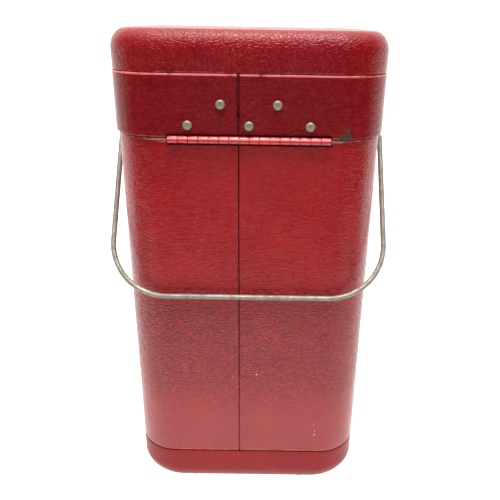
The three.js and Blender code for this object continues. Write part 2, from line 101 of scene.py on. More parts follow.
# Upright seams at the back.
SEAM_X = 7.3 * MM
BAND_SEAM_HALF = 1.25 * MM
BODY_SEAM_HALF = 0.42 * MM
SLOT_Z = LID_SEAM + 17.3 * MM
SLOT_HALF = (1.15 * MM, 1.9 * MM)

# Bail: its wire, its two large bends, and the small turns into the ears.
WIRE_RADIUS = 2.35 * MM
BAIL_BEND = 49 * MM
EAR_TURN = 3.2 * MM

# Mesh spacing of the sheet metal.
WALL_STEP = 3 * MM
CORNER_STEPS = 30

# Camera: height and distance from the hinge side, and its slight tilt.
CAMERA_PLACE = Vector((-13 * MM, HALF_Y + 422 * MM, LID_SEAM + 83 * MM))
CAMERA_PITCH = 22.9
CAMERA_YAW = -0.18
CAMERA_ROLL = 0.97
CAMERA_LENS = 40.1
CAMERA_SHIFT = (-0.03, 0.01)

# The set: how bright its dark side and its table are, and how far the white table reaches.
ROOM_SHADE = 0.02
TABLE_GLOW = 1.3
PATCH_FRONT = 0.33
PATCH_SIDE = 0.5


# ---------------------------------------------------------------- camera, floor and light


def add_camera():
    """The camera on the hinge side, a little above the lid and looking down."""
    data = bpy.data.cameras.new("camera")
    data.lens = CAMERA_LENS
    data.sensor_width = 36
    data.shift_x, data.shift_y = CAMERA_SHIFT
    camera = bpy.data.objects.new("camera", data)
    bpy.context.scene.collection.objects.link(camera)
    turn = Matrix.Rotation(math.radians(180 + CAMERA_YAW), 4, "Z")
    tilt = Matrix.Rotation(math.radians(90 - CAMERA_PITCH), 4, "X")
    roll = Matrix.Rotation(math.radians(CAMERA_ROLL), 4, "Z")
    camera.matrix_world = Matrix.Translation(CAMERA_PLACE) @ turn @ tilt @ roll
    bpy.context.scene.camera = camera


def add_area_light(name, place, target, size, power, mirrored=True):
    """A square soft light at a place, facing a target. The enamel may or may not mirror it."""
    data = bpy.data.lights.new(name, "AREA")
    data.shape = "SQUARE"
    data.size = size
    data.energy = power
    light = bpy.data.objects.new(name, data)
    bpy.context.scene.collection.objects.link(light)
    light.location = place
    aim = Vector(target) - Vector(place)
    light.rotation_euler = aim.to_track_quat("-Z", "Y").to_euler()
    light.visible_glossy = mirrored


def add_lights():
    """A soft key on the hinge side, light from above and a fill at each side."""
    add_area_light("key", (0.02, 0.82, 0.3), (0, 0, 0.25), 0.3, 2.5, mirrored=False)
    add_area_light("top", (0, 0.2, 1.4), (0, 0, 0.4), 0.4, 5)
    add_area_light("top_fill", (0, 0.3, 1.3), (0, 0, 0.4), 0.4, 13, mirrored=False)
    for side, sign in (("left", -1), ("right", 1)):
        add_area_light(f"side_{side}", (sign, 0.15, 0.3), (0, 0, 0.25), 0.4, 4.2, mirrored=False)


def add_world():
    """A room that is bright behind the box and overhead, and dark on the hinge side."""
    world = bpy.data.worlds.new("room")
    bpy.context.scene.world = world
    world.use_nodes = True
    nodes, links = world.node_tree.nodes, world.node_tree.links
    background = nodes["Background"]
    background.inputs["Color"].default_value = (1, 0.975, 0.94, 1)
    coords = nodes.new("ShaderNodeTexCoord")
    split = nodes.new("ShaderNodeSeparateXYZ")
    links.new(coords.outputs["Generated"], split.inputs[0])
    glows = []
    for axis, start, end, strength in (("Y", -0.1, -0.65, 1.4), ("Z", 0.64, 0.9, 2.6)):
        glow = nodes.new("ShaderNodeMapRange")
        glow.interpolation_type = "SMOOTHSTEP"
        glow.inputs["From Min"].default_value = start
        glow.inputs["From Max"].default_value = end
        glow.inputs["To Min"].default_value = ROOM_SHADE
        glow.inputs["To Max"].default_value = strength
        links.new(split.outputs[axis], glow.inputs["Value"])
        glows.append(glow.outputs["Result"])
    strongest = nodes.new("ShaderNodeMath")
    strongest.operation = "MAXIMUM"
    links.new(glows[0], strongest.inputs[0])
    links.new(glows[1], strongest.inputs[1])
    links.new(strongest.outputs[0], background.inputs["Strength"])


def level_sheet(name, low, high, z, paint):
    """A flat rectangle of the set, which isn't part of the box."""
    mesh = bpy.data.meshes.new(name)
    sheet = bpy.data.objects.new(name, mesh)
    bpy.context.scene.collection.objects.link(sheet)
    corners = [(low[0], low[1], z), (high[0], low[1], z), (high[0], high[1], z), (low[0], high[1], z)]
    mesh.from_pydata(corners, [], [(0, 1, 2, 3)])
    mesh.materials.append(paint.material)
    return sheet


def add_floor():
    """A white table top, lit through from below."""
    paint = Paint("floor_paint")
    paint.set("Base Color", (0.3, 0.3, 0.3, 1))
    paint.set("Roughness", 0.8)
    paint.set("Emission Color", (1, 0.97, 0.92, 1))
    paint.set("Emission Strength", TABLE_GLOW)
    level_sheet("floor", (-6, -6), (6, 6), 0, paint)


def add_mats():
    """Dark mats round a white patch of the table. The enamel mirrors them and the camera doesn't."""
    paint = Paint("mat_paint")
    paint.set("Base Color", (0.02, 0.02, 0.02, 1))
    paint.set("Roughness", 0.9)
    front = HALF_Y + PATCH_FRONT
    spans = (
        ((-6, front), (6, 6)),
        ((-6, 0), (-PATCH_SIDE, front)),
        ((PATCH_SIDE, 0), (6, front)),
    )
    for number, (low, high) in enumerate(spans):
        mat = level_sheet(f"mat_{number}", low, high, 1 * MM, paint)
        mat.visible_camera = False
        mat.visible_shadow = False


# ---------------------------------------------------------------- material building blocks


class Paint:
    """A node material on the Principled shader, built one step at a time."""

    def __init__(self, name):
        self.material = bpy.data.materials.new(name)
        self.material.use_nodes = True
        self.tree = self.material.node_tree
        self.shader = self.tree.nodes["Principled BSDF"]
        self.place = None

    def add(self, kind, **values):
        node = self.tree.nodes.new(kind)
        for name, value in values.items():
            setattr(node, name, value)
        return node

    def feed(self, socket, value):
        """Sets a socket to a number or colour, or links another socket to it."""
        if isinstance(value, bpy.types.NodeSocket):
            self.tree.links.new(value, socket)
        elif isinstance(value, tuple) and len(value) == 3 and socket.type == "RGBA":
            socket.default_value = (*value, 1)
        else:
            socket.default_value = value

    def set(self, name, value):
        self.shader.inputs[name].default_value = value

    def link(self, value, name):
        self.feed(self.shader.inputs[name], value)

    def coords(self):
        """The point on the piece, in metres."""
        if self.place is None:
            self.place = self.add("ShaderNodeTexCoord").outputs["Object"]
        return self.place

    def axis(self, name):
        split = self.add("ShaderNodeSeparateXYZ")
        self.feed(split.inputs[0], self.coords())
        return split.outputs[name]

    def math(self, operation, first, second=0.0):
        node = self.add("ShaderNodeMath", operation=operation)
        self.feed(node.inputs[0], first)
        self.feed(node.inputs[1], second)
        return node.outputs[0]

    def vector(self, operation, first, second):
        node = self.add("ShaderNodeVectorMath", operation=operation)
        self.feed(node.inputs[0], first)
        self.feed(node.inputs[1], second)
        return node.outputs[0]

    def noise(self, vector, scale, detail=2.0, roughness=0.5):
        node = self.add("ShaderNodeTexNoise")
        self.feed(node.inputs["Vector"], vector)
        node.inputs["Scale"].default_value = scale
        node.inputs["Detail"].default_value = detail
        node.inputs["Roughness"].default_value = roughness
        return node.outputs["Fac"]

    def wobble(self, vector, scale, reach):
        """The vector, pushed about by up to reach."""
        node = self.add("ShaderNodeTexNoise")
        self.feed(node.inputs["Vector"], vector)
        node.inputs["Scale"].default_value = scale
        centred = self.vector("SUBTRACT", node.outputs["Color"], (0.5, 0.5, 0.5))
        pushed = self.vector("MULTIPLY", centred, (2 * reach, 2 * reach, 2 * reach))
        return self.vector("ADD", vector, pushed)

    def cells(self, vector, scale, feature="DISTANCE_TO_EDGE"):
        node = self.add("ShaderNodeTexVoronoi", feature=feature)
        self.feed(node.inputs["Vector"], vector)
        node.inputs["Scale"].default_value = scale
        return node.outputs["Distance"]

    def ramp(self, value, low, high, to_low=0.0, to_high=1.0):
        node = self.add("ShaderNodeMapRange", interpolation_type="SMOOTHSTEP")
        self.feed(node.inputs["Value"], value)
        limits = {"From Min": low, "From Max": high, "To Min": to_low, "To Max": to_high}
        for name, number in limits.items():
            node.inputs[name].default_value = number
        return node.outputs["Result"]

    def mix_colour(self, amount, first, second):
        node = self.add("ShaderNodeMix", data_type="RGBA")
        self.feed(node.inputs["Factor"], amount)
        self.feed(node.inputs[6], first)
        self.feed(node.inputs[7], second)
        return node.outputs[2]

    def near(self, value, middle, reach, soft):
        """One within reach of a middle value, falling to zero over soft."""
        away = self.math("ABSOLUTE", self.math("SUBTRACT", value, middle))
        return self.ramp(away, reach, reach + soft, 1, 0)

    def spot(self, centre, radius, soft, stretch=(1, 1, 1), ragged=0.0):
        """One inside a stretched ball, with a ragged edge."""
        vector = self.coords()
        if ragged:
            vector = self.wobble(vector, 0.7 / ragged, ragged)
        offset = self.vector("SUBTRACT", vector, tuple(centre))
        scaled = self.vector("MULTIPLY", offset, tuple(1 / s for s in stretch))
        away = self.add("ShaderNodeVectorMath", operation="LENGTH")
        self.feed(away.inputs[0], scaled)
        return self.ramp(away.outputs["Value"], radius, radius + soft, 1, 0)

    def both(self, first, second):
        return self.math("MULTIPLY", first, second)

    def either(self, first, second):
        return self.math("MAXIMUM", first, second)

    def bump(self, height, depth, strength=1.0):
        node = self.add("ShaderNodeBump")
        node.inputs["Strength"].default_value = strength
        node.inputs["Distance"].default_value = depth
        self.feed(node.inputs["Height"], height)
        return node.outputs["Normal"]


# ---------------------------------------------------------------- materials

RED_DEEP = (0.29, 0.007, 0.011)
RED_BRIGHT = (0.365, 0.0105, 0.015)
# Pale red, for worn paint and for painted highlights along some edges.
RED_WEAR_AND_HIGHLIGHT = (0.55, 0.17, 0.16)
STEEL_DARK = (0.04, 0.036, 0.03)
SPECK_DARK = (0.055, 0.006, 0.008)

# How the grain is squeezed on each axis: long level wrinkles on the body, small pebbles on the cap.
WRINKLES = (0.62, 0.62, 2.0)
PEBBLES = (1.05, 1.05, 1.5)


def leather_grain(paint, stretch):
    """Embossed leather grain: pebbles a few millimetres wide, flattened into level wrinkles."""
    flattened = paint.vector("MULTIPLY", paint.coords(), stretch)
    pushed = paint.wobble(flattened, 170, 2.2 * MM)
    pebbles = paint.ramp(paint.cells(pushed, 270), 0.0, 0.2)
    fine = paint.noise(pushed, 800, 3)
    swell = paint.noise(flattened, 120, 2)
    coarse = paint.math("ADD", paint.math("MULTIPLY", pebbles, 0.6), paint.math("MULTIPLY", swell, 0.55))
    height = paint.math("ADD", coarse, paint.math("MULTIPLY", fine, 0.3))
    return pebbles, height


def enamel(name, marks=(), shade=1.0, grain=1.0, rough=(0.18, 0.3), gloss=0.5, stretch=WRINKLES, zone=None):
    """Red enamel over the embossed grain, with the wear, painted shade and painted highlights that its
    marks add.

    Shade scales the red, grain the relief and the painted shade in its creases, gloss the mirroring.
    Each mark gives a mask and a colour, and a zone gives how strong the grain is from place to place.
    """
    paint = Paint(name)
    coords = paint.coords()
    pebbles, height = leather_grain(paint, stretch)
    creases = paint.math("SUBTRACT", 1.0, pebbles)
    if zone:
        worked = zone(paint)
        height = paint.both(height, worked)
        creases = paint.both(creases, worked)
    clouds = paint.noise(coords, 16, 4, 0.6)
    deep, bright = (tuple(shade * c for c in tint) for tint in (RED_DEEP, RED_BRIGHT))
    colour = paint.mix_colour(paint.ramp(clouds, 0.3, 0.7), deep, bright)
    # Painted shade: the creases between the pebbles are painted darker.
    shadowed = tuple(0.45 * c for c in deep)
    colour = paint.mix_colour(paint.math("MULTIPLY", creases, 0.6 * grain), colour, shadowed)
    wear_and_highlight = paint.both(paint.ramp(paint.noise(coords, 55, 5, 0.7), 0.62, 0.78), pebbles)
    colour = paint.mix_colour(paint.math("MULTIPLY", wear_and_highlight, 0.03), colour, RED_WEAR_AND_HIGHLIGHT)
    specks = paint.ramp(paint.noise(coords, 420, 2, 0.6), 0.775, 0.8)
    colour = paint.mix_colour(paint.math("MULTIPLY", specks, 0.7), colour, SPECK_DARK)
    for mask, tint in (mark(paint) for mark in marks):
        colour = paint.mix_colour(mask, colour, tint)
    paint.link(colour, "Base Color")
    haze = paint.noise(coords, 38, 4, 0.6)
    paint.link(paint.ramp(haze, 0.25, 0.8, *rough), "Roughness")
    paint.set("Specular IOR Level", gloss)
    paint.link(paint.bump(height, 0.34 * grain * MM, 1.0), "Normal")
    return paint.material


def body_grain_zone(paint):
    """How strong the body's grain is: full round the middle of its height, faint elsewhere."""
    z = paint.axis("Z")
    across = paint.math("ABSOLUTE", paint.axis("X"))
    corners = paint.ramp(across, 66 * MM, 96 * MM, 0.3, 0.5)
    upper = paint.ramp(z, LID_SEAM - 160 * MM, LID_SEAM - 105 * MM, 1, 0.3)
    lower = paint.ramp(z, LID_SEAM - 275 * MM, LID_SEAM - 215 * MM, 0.25, 1)
    return paint.either(paint.both(upper, lower), corners)


def plain_paint(name, tint, rough):
    """An even coat with no texture."""
    paint = Paint(name)
    paint.set("Base Color", (*tint, 1))
    paint.set("Roughness", rough)
    paint.set("Specular IOR Level", 0.1)
    return paint.material


def edge_wear_and_highlight(z, reach, strength=0.8, patches=(0.42, 0.68), tint=RED_WEAR_AND_HIGHLIGHT):
    """Paler paint along a level edge at height z: worn paint on some edges, a painted highlight on others.
    """

    def mark(paint):
        level = paint.near(paint.axis("Z"), z, reach, 0.5 * MM)
        patchy = paint.ramp(paint.noise(paint.coords(), 90, 4, 0.7), *patches)
        return paint.math("MULTIPLY", paint.both(level, patchy), strength), tint

    return mark


def seam_darkening(half_width, y_from, tint=(0.012, 0.002, 0.003)):
    """Darker paint in the upright seam's groove."""

    def mark(paint):
        inside = paint.near(paint.axis("X"), SEAM_X, half_width, 0.12 * MM)
        back = paint.ramp(paint.axis("Y"), y_from, y_from + 0.2 * MM)
        return paint.math("MULTIPLY", paint.both(inside, back), 0.92), tint

    return mark


def lid_shadow():
    """The dark line of the gap right under the lid's edge."""

    def mark(paint):
        level = paint.near(paint.axis("Z"), LID_SEAM - 0.35 * MM, 0.45 * MM, 0.3 * MM)
        return paint.math("MULTIPLY", level, 0.9), (0.02, 0.002, 0.003)

    return mark


def foot_painted_shade():
    """Painted shade: a darkening towards the foot of the sleeve."""

    def mark(paint):
        return paint.ramp(paint.axis("Z"), PAN_SEAM, PAN_SEAM + 60 * MM, 0.6, 0), (0.2, 0.006, 0.009)

    return mark


def notch_shadow():
    """A painted shadow: a black line on the sheet just below the hinge."""

    def mark(paint):
        level = paint.near(paint.axis("Z"), NOTCH_BOTTOM - 0.3 * MM, 0.75 * MM, 0.25 * MM)
        across = paint.near(paint.axis("X"), HINGE.x, NOTCH_HALF + 0.5 * MM, 0.3 * MM)
        back = paint.ramp(paint.axis("Y"), 0, 1 * MM)
        line = paint.both(paint.both(level, across), back)
        return paint.math("MULTIPLY", line, 0.95), (0.01, 0.002, 0.003)

    return mark


def blot(centre, radius, tint, stretch=(1, 1, 1), ragged=0.0, strength=1.0, soft=0.4 * MM):
    """One chip, scuff or fleck at a place."""

    def mark(paint):
        mask = paint.spot(centre, radius, soft, stretch, ragged)
        return paint.math("MULTIPLY", mask, strength), tint

    return mark


def tinned_inside():
    """The dull tinned inside of the sheet."""
    paint = Paint("tinned_inside")
    coords = paint.coords()
    bloom = paint.cells(coords, 60, "F1")
    colour = paint.mix_colour(paint.ramp(bloom, 0.1, 0.9), (0.3, 0.3, 0.29), (0.42, 0.41, 0.39))
    stain = paint.ramp(paint.noise(coords, 22, 5, 0.65), 0.55, 0.75)
    colour = paint.mix_colour(paint.math("MULTIPLY", stain, 0.6), colour, (0.17, 0.12, 0.08))
    paint.link(colour, "Base Color")
    paint.set("Metallic", 0.7)
    paint.link(paint.ramp(paint.noise(coords, 80, 3), 0.3, 0.7, 0.4, 0.6), "Roughness")
    paint.link(paint.bump(paint.noise(coords, 240, 3), 0.1 * MM, 0.4), "Normal")
    return paint.material


def aged_metal(name, light, dark, metallic, rough, painted_shade_below=False):
    """Dulled bare metal with tarnish and fine handling marks, and painted shade on its underside if asked.
    """
    paint = Paint(name)
    coords = paint.coords()
    tarnish = paint.noise(coords, 130, 5, 0.65)
    colour = paint.mix_colour(paint.ramp(tarnish, 0.32, 0.68), light, dark)
    pits = paint.ramp(paint.noise(coords, 900, 2), 0.66, 0.74)
    colour = paint.mix_colour(paint.math("MULTIPLY", pits, 0.5), colour, tuple(0.4 * c for c in dark))
    if painted_shade_below:
        # Painted shade: faces turned down are painted darker.
        facing = paint.add("ShaderNodeSeparateXYZ")
        paint.feed(facing.inputs[0], paint.add("ShaderNodeTexCoord").outputs["Normal"])
        underside_shade = paint.ramp(facing.outputs["Z"], -0.6, 0.1, 0.85, 0)
        colour = paint.mix_colour(underside_shade, colour, (0.05, 0.045, 0.035))
    paint.link(colour, "Base Color")
    paint.set("Metallic", metallic)
    paint.link(paint.ramp(tarnish, 0.3, 0.7, *rough), "Roughness")
    paint.link(paint.bump(paint.noise(coords, 700, 3), 0.12 * MM, 0.35), "Normal")
    return paint.material


def rivet_metal():
    """Aged brass with a green-grey deposit in the middle of the head, round the object's origin."""
    paint = Paint("rivet_metal")
    coords = paint.coords()
    tarnish = paint.ramp(paint.noise(coords, 500, 4), 0.35, 0.7)
    ring = paint.mix_colour(tarnish, (0.42, 0.35, 0.25), (0.28, 0.245, 0.18))
    middle = paint.spot((0, 0, 0), 1.15 * MM, 0.9 * MM, (1, 8, 1), 0.35 * MM)
    colour = paint.mix_colour(paint.math("MULTIPLY", middle, 0.9), ring, (0.12, 0.19, 0.115))
    paint.link(colour, "Base Color")
    paint.link(paint.math("MULTIPLY", paint.math("SUBTRACT", 1.0, middle), 0.6), "Metallic")
    paint.link(paint.ramp(paint.noise(coords, 380, 3), 0.3, 0.7, 0.34, 0.55), "Roughness")
    paint.link(paint.bump(paint.noise(coords, 800, 3), 0.15 * MM, 0.5), "Normal")
    return paint.material


# ---------------------------------------------------------------- sheet metal


def rear_columns(features):
    """X places across the straight of the back wall, closer together round each feature."""
    half = HALF_X - CORNER_RADIUS
    count = round(2 * half / WALL_STEP)
    columns = {round(-half + 2 * half * i / count, 6) for i in range(count + 1)}
    for place, offsets in features:
        near = max(abs(offset) for offset in offsets)
        columns = {x for x in columns if abs(x - place) > near + 0.6 * MM or abs(abs(x) - half) < 1e-6}
        columns |= {round(place + offset, 6) for offset in offsets}
    return sorted(columns)


def plan_ring(features):
    """Points round the lid's outer face as (centre x, centre y, outward x, outward y)."""
    half_x = HALF_X - CORNER_RADIUS
    half_y = HALF_Y - CORNER_RADIUS
    count_x = round(2 * half_x / WALL_STEP)
    count_y = round(2 * half_y / WALL_STEP)
    ring = []

    def corner(centre_x, centre_y, start):
        for step in range(1, CORNER_STEPS):
            angle = math.radians(start + 90 * step / CORNER_STEPS)
            ring.append((centre_x, centre_y, math.cos(angle), math.sin(angle)))

    for step in range(count_y + 1):
        ring.append((half_x, -half_y + 2 * half_y * step / count_y, 1, 0))
    corner(half_x, half_y, 0)
    for x in reversed(rear_columns(features)):
        ring.append((x, half_y, 0, 1))
    corner(-half_x, half_y, 90)
    for step in range(count_y + 1):
        ring.append((-half_x, half_y - 2 * half_y * step / count_y, -1, 0))
    corner(-half_x, -half_y, 180)
    for step in range(count_x + 1):
        ring.append((-half_x + 2 * half_x * step / count_x, -half_y, 0, -1))
    corner(half_x, -half_y, 270)
    return ring


def ring_point(place, inset, z, growth):
    """A ring's place at an inset and height, with the plan's corners grown rounder."""
    x, y, out_x, out_y = place
    radius = CORNER_RADIUS - inset + growth
    shrink_x = 1 - growth / (HALF_X - CORNER_RADIUS)
    shrink_y = 1 - growth / (HALF_Y - CORNER_RADIUS)
    return Vector((x * shrink_x + out_x * radius, y * shrink_y + out_y * radius, z))


def bend_profile(points):
    """An (inset, z) line with each bend rounded by its own radius, in short steps."""
    rounded = [points[0][:2]]
    for before, here, after in zip(points, points[1:], points[2:]):
        corner = Vector(here[:2])
        radius = here[2] if len(here) > 2 else 0
        if not radius:
            rounded.append(tuple(corner))
            continue
        start = corner + (Vector(before[:2]) - corner).normalized() * radius
        end = corner + (Vector(after[:2]) - corner).normalized() * radius
        for part in range(5):
            t = part / 4
            rounded.append(tuple(start * (1 - t) ** 2 + corner * 2 * t * (1 - t) + end * t * t))
    rounded.append(points[-1][:2])
    line = [rounded[0]]
    for start, end in zip(rounded, rounded[1:]):
        length = (Vector(end) - Vector(start)).length
        if length < 1e-7:
            continue
        parts = max(1, round(length / WALL_STEP))
        line += [tuple(Vector(start).lerp(Vector(end), part / parts)) for part in range(1, parts + 1)]
    return line


def quarter_roll(wall_inset, floor_z, roll, up, steps, growth=0):
    """A quarter roll of (inset, z, corner growth) from an upright wall to a level floor."""
    sideways, upright = roll
    direction = -1 if up else 1
    points = []
    for step in range(steps + 1):
        angle = math.pi / 2 * step / steps
        inset = wall_inset + sideways * (1 - math.cos(angle))
        z = floor_z + direction * upright * (1 - math.sin(angle))
        points.append((inset, z, growth * math.sin(angle)))
    return points


def dent(point, seed, reach):
    """A gentle unevenness, always inward, of hand-worked sheet."""
    low = noise.noise(point * 14 + Vector((seed, 0, 0)))
    high = noise.noise(point * 45 + Vector((0, seed, 0)))
    return reach * (0.5 + 0.4 * low + 0.1 * high)


class Sheet:
    """A sheet carried round the box along a profile, as one open surface that faces outward."""

    def __init__(self, name, profile, features=(), push=None, dish_rings=0):
        self.name = name
        self.mesh = bmesh.new()
        self.ring = plan_ring(features)
        self.rows = []
        for inset, z, *growth in profile:
            row = []
            for place in self.ring:
                point = ring_point(place, inset, z, growth[0] if growth else 0)
                row.append(self.mesh.verts.new(push(point, Vector((*place[2:], 0))) if push else point))
            self.rows.append(row)
        for lower, upper in zip(self.rows, self.rows[1:]):
            self.join(lower, upper)
        if dish_rings:
            self.close(dish_rings, push)

    def join(self, lower, upper):
        count = len(lower)
        for place in range(count):
            after = (place + 1) % count
            self.mesh.faces.new((lower[place], lower[after], upper[after], upper[place]))

    def close(self, rings, push):
        """Fills the last row with shrinking rings, down to one point."""
        edge = self.rows[-1]
        middle = Vector((0, 0, sum(v.co.z for v in edge) / len(edge)))
        outer = [v.co.copy() for v in edge]
        last = edge
        for number in range(1, rings):
            share = 1 - number / rings
            row = []
            for point in outer:
                place = middle + (point - middle) * share
                row.append(self.mesh.verts.new(push(place, Vector((0, 0, 0))) if push else place))
            self.join(last, row)
            last = row
        tip = self.mesh.verts.new(middle)
        for place in range(len(last)):
            after = (place + 1) % len(last)
            self.mesh.faces.new((last[place], last[after], tip))

    def cut(self, low, high):
        """Takes away the faces whose middles lie in a box."""
        doomed = []
        for face in self.mesh.faces:
            middle = face.calc_center_median()
            if all(low[i] < middle[i] < high[i] for i in range(3)):
                doomed.append(face)
        bmesh.ops.delete(self.mesh, geom=doomed, context="FACES")

    def finish(self, outside, inside, thickness=SHEET, flip=False):
        """The finished piece: the surface thickened inward, with softened edges."""
        if flip:
            bmesh.ops.reverse_faces(self.mesh, faces=self.mesh.faces)
        data = bpy.data.meshes.new(self.name)
        self.mesh.to_mesh(data)
        self.mesh.free()
        piece = bpy.data.objects.new(self.name, data)
        bpy.context.scene.collection.objects.link(piece)
        data.materials.append(outside)
        data.materials.append(inside)
        thicken = piece.modifiers.new("thicken", "SOLIDIFY")
        thicken.thickness = thickness
        thicken.offset = -1
        thicken.use_even_offset = True
        thicken.material_offset = 1
        bevel = piece.modifiers.new("bevel", "BEVEL")
        bevel.width = 0.18 * MM
        bevel.segments = 2
        bevel.limit_method = "ANGLE"
        bevel.angle_limit = math.radians(50)
        apply_modifiers(piece)
        piece.data.shade_smooth()
        return piece


def apply_modifiers(piece):
    """Makes a piece's modifiers part of its mesh."""
    graph = bpy.context.evaluated_depsgraph_get()
    data = bpy.data.meshes.new_from_object(piece.evaluated_get(graph))
    piece.modifiers.clear()
    piece.data = data


def ramp(value, low, high):
    """Zero below low, one above high, and smooth between."""
    t = min(max((value - low) / (high - low), 0), 1)
    return t * t * (3 - 2 * t)


def groove(x, half, soft):
    """How deep the upright seam is at x, from zero to one."""
    return 1 - ramp(abs(x - SEAM_X), half - soft / 2, half + soft / 2)


def back_features(offsets_in_mm):
    """Where the back wall needs close columns: the notch's two ends, and a seam's own offsets."""
    ends = (-0.4 * MM, 0, 0.4 * MM)
    seam = tuple(MM * offset for offset in offsets_in_mm)
    return (HINGE.x - NOTCH_HALF, ends), (HINGE.x + NOTCH_HALF, ends), (SEAM_X, seam)


BAND_SEAM_COLUMNS = (-1.7, -1.4, -1.3, -1.2, -1.1, -0.9, -0.4, 0.4, 0.9, 1.1, 1.2, 1.3, 1.4, 1.7)
BODY_SEAM_COLUMNS = (-1.6, -1.1, -0.7, -0.5, -0.38, -0.2, 0, 0.2, 0.38, 0.5, 0.7, 1.1, 1.6)


def add_cap(red, tin):
    """The drawn top of the lid."""
    rim = CAP_LOW.z
    rolled = quarter_roll(CAP_INSET, TOP, CAP_ROLL, True, 16)
    profile = bend_profile([(CAP_INSET, rim), rolled[0][:2]])
    profile += rolled[1:]

    def push(point, out):
        wave = 0.22 * MM * noise.noise(Vector((point.x * 40, point.y * 40, 3)))
        near_rim = 1 - ramp(point.z, rim, rim + 4 * MM)
        depth = dent(point, 2, 0.35 * MM) if point.z < TOP - 2 * MM else 0
        sag = Vector((0, 0, -dent(point, 4, 0.5 * MM))) if out.length == 0 else Vector()
        return point - out * depth + Vector((0, 0, wave * near_rim)) + sag

    cap = Sheet("lid_cap_shell", profile, push=push, dish_rings=26)
    piece = cap.finish(red, tin)
    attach(piece, "lid")
    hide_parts("lid_cap")


def add_band(red, tin):
    """The lid's side wall, with its seam, slot and hinge notch."""
    tuck = CAP_INSET + SHEET + GAP
    profile = bend_profile(
        [
            (2.6 * MM, LID_SEAM),
            (0, LID_SEAM, 1.1 * MM),
            (0, NOTCH_TOP),
            (0, SLOT_Z - SLOT_HALF[1]),
            (0, SLOT_Z + SLOT_HALF[1]),
            (0, CAP_SEAM - 0.5 * MM, 0.45 * MM),
            (tuck, CAP_SEAM - 0.1 * MM, 0.5 * MM),
            (tuck, CAP_SEAM + TUCK),
        ]
    )

    def push(point, out):
        depth = 0.1 * MM + dent(point, 7, 0.3 * MM)
        on_back = out.y > 0.99
        if on_back:
            lower = 1 - 0.35 * ramp(point.z, SLOT_Z + 4 * MM, LID_SEAM)
            narrow = BAND_SEAM_HALF * (0.62 + 0.38 * ramp(point.z, LID_SEAM, CAP_SEAM - 8 * MM))
            depth += 0.85 * MM * groove(point.x, narrow, 0.25 * MM) * lower
        wave = 0.2 * MM * noise.noise(Vector((point.x * 45, point.y * 45, 8)))
        near_top = ramp(point.z, CAP_SEAM - 3 * MM, CAP_SEAM - 1 * MM)
        return point - out * depth + Vector((0, 0, wave * near_top))

    band = Sheet("lid_band_shell", profile, back_features(BAND_SEAM_COLUMNS), push)
    band.cut(
        (HINGE.x - NOTCH_HALF, HALF_Y - 8 * MM, LID_SEAM - MM),
        (HINGE.x + NOTCH_HALF, HALF_Y + MM, NOTCH_TOP),
    )
    band.cut(
        (SEAM_X - SLOT_HALF[0], HALF_Y - 8 * MM, SLOT_Z - SLOT_HALF[1]),
        (SEAM_X + SLOT_HALF[0], HALF_Y + MM, SLOT_Z + SLOT_HALF[1]),
    )
    piece = band.finish(red, tin)
    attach(piece, "lid")
    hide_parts("lid_band")


def add_body(red, tin):
    """The sleeve, its lapped seam, its shoulder under the lid and its neck inside it."""
    tuck = BODY_INSET + SHEET + GAP
    profile = bend_profile(
        [
            (tuck, PAN_SEAM - TUCK),
            (tuck, PAN_SEAM + 0.5 * MM, 0.45 * MM),
            (BODY_INSET, PAN_SEAM + 1.1 * MM, 0.5 * MM),
            (BODY_INSET, NOTCH_BOTTOM),
            (BODY_INSET, LID_SEAM - 1.1 * MM, 0.8 * MM),
            (NECK_INSET, LID_SEAM - 0.3 * MM, 0.4 * MM),
            (NECK_INSET, BODY_HIGH.z),
        ]
    )

    def push(point, out):
        depth = dent(point, 11, 0.45 * MM)
        if out.y > 0.99:
            depth += 0.75 * MM * groove(point.x, BODY_SEAM_HALF, 0.3 * MM)
            beside = ramp(point.x, SEAM_X + 0.45 * MM, SEAM_X + 0.7 * MM)
            depth -= 0.3 * MM * beside * (1 - ramp(point.x, SEAM_X + 1.1 * MM, SEAM_X + 9 * MM))
        return point - out * max(depth, 0)

    body = Sheet("body_shell", profile, back_features(BODY_SEAM_COLUMNS), push)
    body.cut(
        (HINGE.x - NOTCH_HALF, HALF_Y - 9 * MM, NOTCH_BOTTOM),
        (HINGE.x + NOTCH_HALF, HALF_Y + MM, BODY_HIGH.z + MM),
    )
    piece = body.finish(red, tin)
    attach(piece, "case")
    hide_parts("body_sleeve")


def foot_share(x, y):
    """How far the pan is pressed down to the floor at a place, from zero to one."""
    away = math.hypot(abs(x) - FOOT_X, abs(y) - FOOT_Y)
    return 1 - ramp(away, FOOT_FLAT, FOOT_ROOT)


def add_pan(red, tin):
    """The drawn bottom pan, with four feet pressed out of its floor."""
    rolled = quarter_roll(BODY_INSET, FOOT_HEIGHT, PAN_ROLL, False, 20, PAN_CORNER_GROWTH)
    profile = bend_profile([(BODY_INSET, PAN_HIGH.z), rolled[0][:2]])
    profile += rolled[1:]

    def push(point, out):
        depth = dent(point, 17, 0.35 * MM) if out.length and point.z > 9 * MM else 0
        pressed = foot_share(point.x, point.y) if point.z < FOOT_HEIGHT + 9 * MM else 0
        return point - out * depth - Vector((0, 0, point.z * pressed))

    pan = Sheet("bottom_pan_shell", profile, push=push, dish_rings=44)
    piece = pan.finish(red, tin, flip=True)
    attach(piece, "case")
    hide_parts("bottom_pan")


# ---------------------------------------------------------------- hinge, rivets, bail, hardware


def new_piece(name, mesh, material, body, replaced=()):
    """Links a bmesh as a piece that rides on a body."""
    data = bpy.data.meshes.new(name)
    mesh.to_mesh(data)
    mesh.free()
    piece = bpy.data.objects.new(name, data)
    bpy.context.scene.collection.objects.link(piece)
    data.materials.append(material)
    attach(piece, body)
    if replaced:
        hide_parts(*replaced)
    return piece


